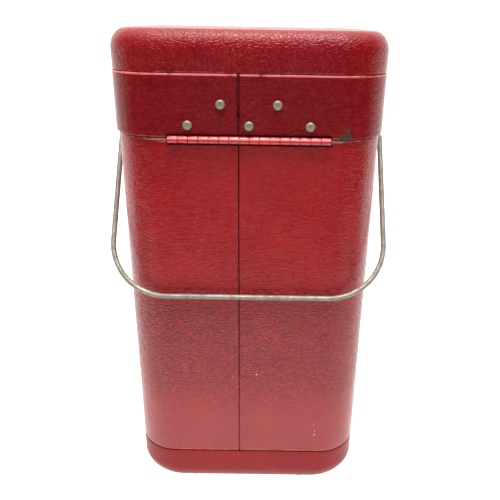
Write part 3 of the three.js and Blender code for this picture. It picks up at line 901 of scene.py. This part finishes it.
def extrude_along_x(mesh, outline, from_x, to_x, material=0):
    """Adds a closed solid: a (y, z) outline drawn out along X."""
    near = [mesh.verts.new((from_x, y, z)) for y, z in outline]
    far = [mesh.verts.new((to_x, y, z)) for y, z in outline]
    count = len(outline)
    faces = [mesh.faces.new(near), mesh.faces.new(list(reversed(far)))]
    for place in range(count):
        after = (place + 1) % count
        faces.append(mesh.faces.new((near[after], near[place], far[place], far[after])))
    bmesh.ops.recalc_face_normals(mesh, faces=faces)
    for face in faces:
        face.material_index = material


def rolled_knuckle(start, end, radius, thickness, steps=26):
    """A (y, z) outline of a sheet rolled round the pin, from one angle to another, in degrees."""
    outer = []
    inner = []
    for step in range(steps + 1):
        angle = math.radians(start + (end - start) * step / steps)
        outer.append((HINGE.y + radius * math.cos(angle), HINGE.z + radius * math.sin(angle)))
        depth = radius - thickness
        inner.append((HINGE.y + depth * math.cos(angle), HINGE.z + depth * math.sin(angle)))
    return outer + inner[::-1]


def rectangle(low, high):
    """A (y, z) outline between two corners."""
    return [(low[0], low[1]), (high[0], low[1]), (high[0], high[1]), (low[0], high[1])]


def add_leaf(name, low, high, tab, first, angles, paints, body, replaced):
    """One hinge leaf: its rolled knuckles, each joined by a tab to the flat sheet; sheet and tabs take the
    second paint, a near-black painted shade.
    """
    mesh = bmesh.new()
    extrude_along_x(mesh, rectangle((low.y, low.z), (high.y, high.z)), low.x, high.x, 1)
    knuckle = rolled_knuckle(*angles, KNUCKLE_RADIUS, 1.2 * MM)
    for number in range(first, KNUCKLES, 2):
        start = HINGE.x - HINGE_LENGTH / 2 + number * KNUCKLE_PITCH + 0.2 * MM
        end = start + KNUCKLE_PITCH - 0.4 * MM
        extrude_along_x(mesh, knuckle, start, end)
        extrude_along_x(mesh, rectangle(*tab), start, end, 1)
    piece = new_piece(name, mesh, paints[0], body, replaced)
    piece.data.materials.append(paints[1])
    bevel = piece.modifiers.new("bevel", "BEVEL")
    bevel.width = 0.28 * MM
    bevel.segments = 3
    bevel.limit_method = "ANGLE"
    bevel.angle_limit = math.radians(50)
    apply_modifiers(piece)
    piece.data.shade_smooth()


def add_hinge(paints):
    """Both leaves. Each one's sheet stays behind the wall that it is fixed to."""
    outside = HALF_Y - SHEET - GAP
    low = Vector((LEAF_LOW.x, outside - 0.9 * MM, HINGE.z + 3.05 * MM))
    high = Vector((LEAF_HIGH.x, outside, LEAF_HIGH.z))
    tab = ((low.y, HINGE.z + 1.6 * MM), (high.y, low.z))
    add_leaf("hinge_knuckles_lid", low, high, tab, 0, (-205, 135), paints, "lid", ("hinge_leaf_lid",))
    outside = HALF_Y - BODY_INSET - SHEET - GAP
    low = Vector((BODY_LEAF_LOW.x, outside - 0.9 * MM, BODY_LEAF_LOW.z))
    high = Vector((BODY_LEAF_HIGH.x, outside, HINGE.z - 3.05 * MM))
    tab = ((low.y, high.z), (HINGE.y - 0.9 * MM, HINGE.z - 2.2 * MM))
    add_leaf("hinge_knuckles_case", low, high, tab, 1, (-225, 115), paints, "case", ("hinge_leaf_body",))


def lathe(mesh, profile, steps=36):
    """Adds a solid turned about Y from (radius, y) points that start and end on the axis."""
    rings = []
    for radius, y in profile:
        if radius < 1e-7:
            rings.append([mesh.verts.new((0, y, 0))])
            continue
        turn = [2 * math.pi * step / steps for step in range(steps)]
        rings.append([mesh.verts.new((radius * math.sin(a), y, radius * math.cos(a))) for a in turn])
    faces = []
    for lower, upper in zip(rings, rings[1:]):
        for step in range(steps):
            after = (step + 1) % steps
            corners = [lower[step % len(lower)], lower[after % len(lower)]]
            corners += [upper[after % len(upper)], upper[step % len(upper)]]
            unique = list(dict.fromkeys(corners))
            faces.append(mesh.faces.new(unique))
    bmesh.ops.recalc_face_normals(mesh, faces=faces)


def rivet_profile(radius, height, reach):
    """A dished rivet head with a rounded rim, on a shank that ends in an upset tail."""
    shank = 1.35 * MM
    tail = 2.2 * MM
    base = 0.05 * MM
    profile = [(0, -reach - 1.1 * MM), (tail * 0.7, -reach - 1.0 * MM), (tail, -reach - 0.5 * MM)]
    profile += [(tail, -reach), (shank, -reach), (shank, base), (radius * 0.97, base)]
    profile += [(radius, base + 0.25 * MM)]
    for step in range(9):
        angle = math.pi / 2 * step / 8
        profile.append(
            (
                radius * 0.62 + radius * 0.38 * math.cos(angle),
                base + 0.3 * MM + (height - 0.3 * MM) * math.sin(angle),
            )
        )
    profile += [(radius * 0.46, base + height - 0.05 * MM), (radius * 0.34, base + height - 0.28 * MM)]
    profile += [(radius * 0.15, base + height - 0.36 * MM), (0, base + height - 0.38 * MM)]
    return profile


def add_rivet(node, body, direction, radius, metal):
    """A turned rivet in place of a plain one, its head towards a direction."""
    low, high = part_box(node)
    middle = (low + high) / 2
    axis = Vector(direction)
    along = abs(axis.dot(high - low))
    head_height = 2.0 * MM
    face = middle + axis * (along / 2 - GAP - head_height)
    mesh = bmesh.new()
    lathe(mesh, rivet_profile(radius, head_height + GAP - 0.1 * MM, along - GAP - head_height - 1.2 * MM))
    data = bpy.data.meshes.new(node + "_turned")
    mesh.to_mesh(data)
    mesh.free()
    data.shade_smooth()
    data.materials.append(metal)
    piece = bpy.data.objects.new(node + "_turned", data)
    bpy.context.scene.collection.objects.link(piece)
    turn = Vector((0, 1, 0)).rotation_difference(axis).to_matrix().to_4x4()
    piece.matrix_world = Matrix.Translation(face) @ turn
    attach(piece, body)
    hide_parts(node)


def add_rivets(metal):
    """Every rivet of the box."""
    for number in range(1, 6):
        add_rivet(f"hinge_rivet_{number}", "lid", (0, 1, 0), 3.5 * MM, metal)
    for side, direction in (("left", (-1, 0, 0)), ("right", (1, 0, 0))):
        for number in (1, 2):
            add_rivet(f"bail_ear_rivet_{side}_{number}", "case", direction, 3 * MM, metal)
    for number in (1, 2):
        add_rivet(f"latch_base_rivet_{number}", "case", (0, -1, 0), 2.6 * MM, metal)
        add_rivet(f"latch_catch_rivet_{number}", "lid", (0, -1, 0), 2.6 * MM, metal)


def bail_route():
    """Points along the bail's wire at rest, from the left end to the right end."""
    low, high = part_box("bail_handle")
    half = high.x - WIRE_RADIUS
    bar = Vector((0, high.y - WIRE_RADIUS, low.z + WIRE_RADIUS))
    reach = (bar - PIVOT).length
    down = (bar - PIVOT).normalized()
    bend = BAIL_BEND
    turn = EAR_TURN
    end = BODY_HIGH.x + GAP + 1.2 * MM
    right = [(end, 0)]
    right += [(half - turn + turn * math.sin(a), turn - turn * math.cos(a)) for a in quarter_angles(6)]
    for part in range(1, 24):
        right.append((half, turn + (reach - bend - turn) * part / 24))
    for a in quarter_angles(22):
        right.append((half - bend + bend * math.cos(a), reach - bend + bend * math.sin(a)))
    across = [((half - bend) * (1 - 2 * part / 40), reach) for part in range(1, 40)]
    left = [(-x, d) for x, d in reversed(right)]
    flat = right + across + left
    return [PIVOT + Vector((x, 0, 0)) + down * d for x, d in flat]


def quarter_angles(steps):
    return [math.pi / 2 * step / steps for step in range(steps + 1)]


def add_bail(steel):
    """The bail's wire, slightly uneven from handling, with an upset head on each end."""
    route = bail_route()
    mesh = bmesh.new()
    sides = 20
    normal = Vector((1, 0, 0)).cross(route[len(route) // 2] - PIVOT).normalized()
    rings = []
    for place, point in enumerate(route):
        before = route[max(place - 1, 0)]
        after = route[min(place + 1, len(route) - 1)]
        across = (after - before).normalized().cross(normal).normalized()
        size = WIRE_RADIUS * (1 - 0.02 * (0.5 + 0.5 * noise.noise(point * 60)))
        row = []
        for side in range(sides):
            angle = 2 * math.pi * side / sides
            offset = across * math.cos(angle) + normal * math.sin(angle)
            row.append(mesh.verts.new(point + offset * size))
        rings.append(row)
    faces = [mesh.faces.new(rings[0]), mesh.faces.new(list(reversed(rings[-1])))]
    for first, second in zip(rings, rings[1:]):
        for side in range(sides):
            after = (side + 1) % sides
            faces.append(mesh.faces.new((first[side], first[after], second[after], second[side])))
    bmesh.ops.recalc_face_normals(mesh, faces=faces)
    for sign in (-1, 1):
        head = bmesh.new()
        lathe(head, upset_head(), 28)
        turn = Vector((0, 1, 0)).rotation_difference(Vector((-sign, 0, 0))).to_matrix().to_4x4()
        place = PIVOT + Vector((sign * (BODY_HIGH.x + GAP + 5 * MM), 0, 0))
        head.transform(Matrix.Translation(place) @ turn)
        data = bpy.data.meshes.new("head")
        head.to_mesh(data)
        head.free()
        mesh.from_mesh(data)
        bpy.data.meshes.remove(data)
    piece = new_piece("bail_wire", mesh, steel, "bail", ("bail_handle",))
    piece.data.shade_smooth()


def upset_head():
    """A mushroomed end of the wire, as (radius, y) points."""
    in_mm = ((0, 0), (2.35, 0), (3.5, 0.3), (3.9, 0.9), (3.6, 1.6), (2.2, 2), (0, 2.1))
    return [(radius * MM, y * MM) for radius, y in in_mm]


def soften(node, material, body):
    """A copy of a CAD piece with its edges softened, in its place."""
    source = frame["nodes"][node]
    mesh = bmesh.new()
    mesh.from_mesh(source.data)
    bmesh.ops.remove_doubles(mesh, verts=mesh.verts, dist=1e-6)
    bmesh.ops.dissolve_limit(mesh, angle_limit=math.radians(1), verts=mesh.verts, edges=mesh.edges)
    piece = new_piece(node + "_finished", mesh, material, body, (node,))
    bevel = piece.modifiers.new("bevel", "BEVEL")
    bevel.width = 0.22 * MM
    bevel.segments = 2
    bevel.limit_method = "ANGLE"
    bevel.angle_limit = math.radians(35)
    apply_modifiers(piece)
    piece.data.shade_smooth()


def add_hardware(steel):
    """Ears and latch with softened edges, and the pins given the same steel."""
    for side in ("left", "right"):
        soften(f"bail_ear_{side}", steel, "case")
    soften("latch_base", steel, "case")
    soften("latch_hasp", steel, "hasp")
    soften("latch_catch", steel, "lid")
    for node in ("hinge_pin", "latch_pin"):
        frame["nodes"][node].data.materials.clear()
        frame["nodes"][node].data.materials.append(steel)


# ---------------------------------------------------------------- the whole


def band_marks():
    """Worn edges with a painted highlight under the cap, the darker seam and the chip beside the hinge."""
    chip = Vector((-74 * MM, HALF_Y, LID_SEAM + 1.6 * MM))
    return (
        # Painted highlight along the band's top edge, with some wear.
        edge_wear_and_highlight(CAP_SEAM - 0.95 * MM, 0.5 * MM, 0.75, (0.28, 0.5), (0.68, 0.16, 0.15)),
        edge_wear_and_highlight(LID_SEAM + 0.4 * MM, 0.6 * MM, 0.35),
        seam_darkening(BAND_SEAM_HALF - 0.15 * MM, HALF_Y - 6 * MM, (0.055, 0.004, 0.006)),
        blot(chip, 3 * MM, STEEL_DARK, (1.5, 2, 0.7), 1.6 * MM, 0.95, 0.7 * MM),
        blot(chip + Vector((-1 * MM, 0, 3 * MM)), 2.1 * MM, STEEL_DARK, (0.8, 2, 1.2), 1.4 * MM, 0.9),
        blot(chip + Vector((-2 * MM, 0, 6.4 * MM)), 1.2 * MM, STEEL_DARK, (0.8, 2, 1.3), 1 * MM, 0.8),
    )


def body_marks():
    """Worn edges with painted highlights, painted shadows under the lid and below the hinge, painted
    shade towards the foot, the darker seam, scuffs beside the hinge and small flecks low on the back.

    A scuff gives its x from the hinge's middle, drop, radius, stretch and strength, and a fleck its
    x, height from the lid's seam, radius, colour and strength, all in millimetres.
    """
    face = HALF_Y - BODY_INSET
    scuff_z = LID_SEAM - 2.6 * MM
    pale = (0.72, 0.6, 0.54)
    flecks = (
        (-8.4, -214.5, 0.55, pale, 0.9),
        (-64.2, -282.5, 0.6, (0.62, 0.46, 0.38), 0.8),
        (-63.2, -264.0, 0.6, SPECK_DARK, 0.7),
        (-63.4, -270.0, 0.5, (0.5, 0.3, 0.25), 0.6),
        (-65.8, -273.5, 0.6, SPECK_DARK, 0.6),
        (-64.4, -277.5, 0.55, (0.55, 0.38, 0.3), 0.6),
        (-66.4, -279.0, 0.5, SPECK_DARK, 0.6),
        (31.0, -210.2, 0.75, SPECK_DARK, 0.8),
        (64.8, -300.0, 1.0, SPECK_DARK, 0.8),
        (92.0, -262.0, 0.8, SPECK_DARK, 0.8),
        (13.5, -218.0, 0.5, (0.5, 0.2, 0.18), 0.5),
    )
    marks = [
        # Painted highlight along the sleeve's shoulder under the lid, with some wear.
        edge_wear_and_highlight(LID_SEAM - 1.5 * MM, 0.5 * MM, 0.85),
        lid_shadow(),
        foot_painted_shade(),
        # Painted highlight along the sleeve's lower edge above the pan, with some wear.
        edge_wear_and_highlight(PAN_SEAM + 1.45 * MM, 0.4 * MM, 0.45),
        seam_darkening(BODY_SEAM_HALF - 0.05 * MM, HALF_Y - 8 * MM),
        notch_shadow(),
    ]
    scuffs = (
        (71, 0.4, 0.7, 13, 0.7),
        (66, -1, 0.5, 5, 0.55),
        (-66, 0.3, 0.8, 6, 0.65),
    )
    for x, drop, radius, stretch, strength in scuffs:
        centre = (HINGE.x + x * MM, face, scuff_z + drop * MM)
        tint = (0.46, 0.27, 0.22)
        marks.append(blot(centre, radius * MM, tint, (stretch, 3, 0.6), 1.6 * MM, strength, 0.6 * MM))
    for x, z, radius, tint, strength in flecks:
        centre = (x * MM, face, LID_SEAM + z * MM)
        marks.append(blot(centre, radius * MM, tint, (1, 2.5, 1), 0.3 * MM, strength, 0.3 * MM))
    return marks


def main():
    """The finished box and its set."""
    bpy.context.scene.view_settings.view_transform = "Standard"
    tin = tinned_inside()
    # The wire's underside is painted darker: painted shade.
    wire = aged_metal("wire_steel", (0.38, 0.345, 0.29), (0.24, 0.215, 0.175), 0.5, (0.36, 0.5), True)
    plated = aged_metal("plated_steel", (0.42, 0.41, 0.385), (0.2, 0.185, 0.16), 0.85, (0.36, 0.55))
    rim_wear = edge_wear_and_highlight(CAP_LOW.z, 0.5 * MM, 0.4)
    cap_red = enamel("enamel_cap", (rim_wear,), shade=0.62, grain=0.8, gloss=0.35, stretch=PEBBLES)
    pan_red = enamel("enamel_pan", shade=0.6, grain=0.35, rough=(0.35, 0.45), gloss=0.2)
    # Painted highlights: the knuckles' red is lighter than the sleeve's, with a pale band painted across
    # their upper half.
    wear_and_highlight = edge_wear_and_highlight(HINGE.z + 1.3 * MM, 0.5 * MM, 0.75, (0.1, 0.3), (0.72, 0.2, 0.19))
    knuckle_red = enamel("enamel_knuckle", (wear_and_highlight,), shade=1.3, grain=0.2, rough=(0.2, 0.3), gloss=1.0)
    add_cap(cap_red, tin)
    # The band's red is painted darker than the sleeve's: painted shade.
    add_band(enamel("enamel_band", band_marks(), shade=0.5, grain=0.6, gloss=0.25), tin)
    body_red = enamel(
        "enamel_body", body_marks(), shade=0.79, grain=1.4, rough=(0.23, 0.29), zone=body_grain_zone
    )
    add_body(body_red, tin)
    add_pan(pan_red, tin)
    # The leaves' hidden sheets and tabs are painted near black: painted shade.
    add_hinge((knuckle_red, plain_paint("leaf_painted_shade", (0.012, 0.003, 0.004), 0.6)))
    add_rivets(rivet_metal())
    add_bail(wire)
    add_hardware(plated)
    add_floor()
    add_mats()
    add_world()
    add_lights()
    add_camera()


main()
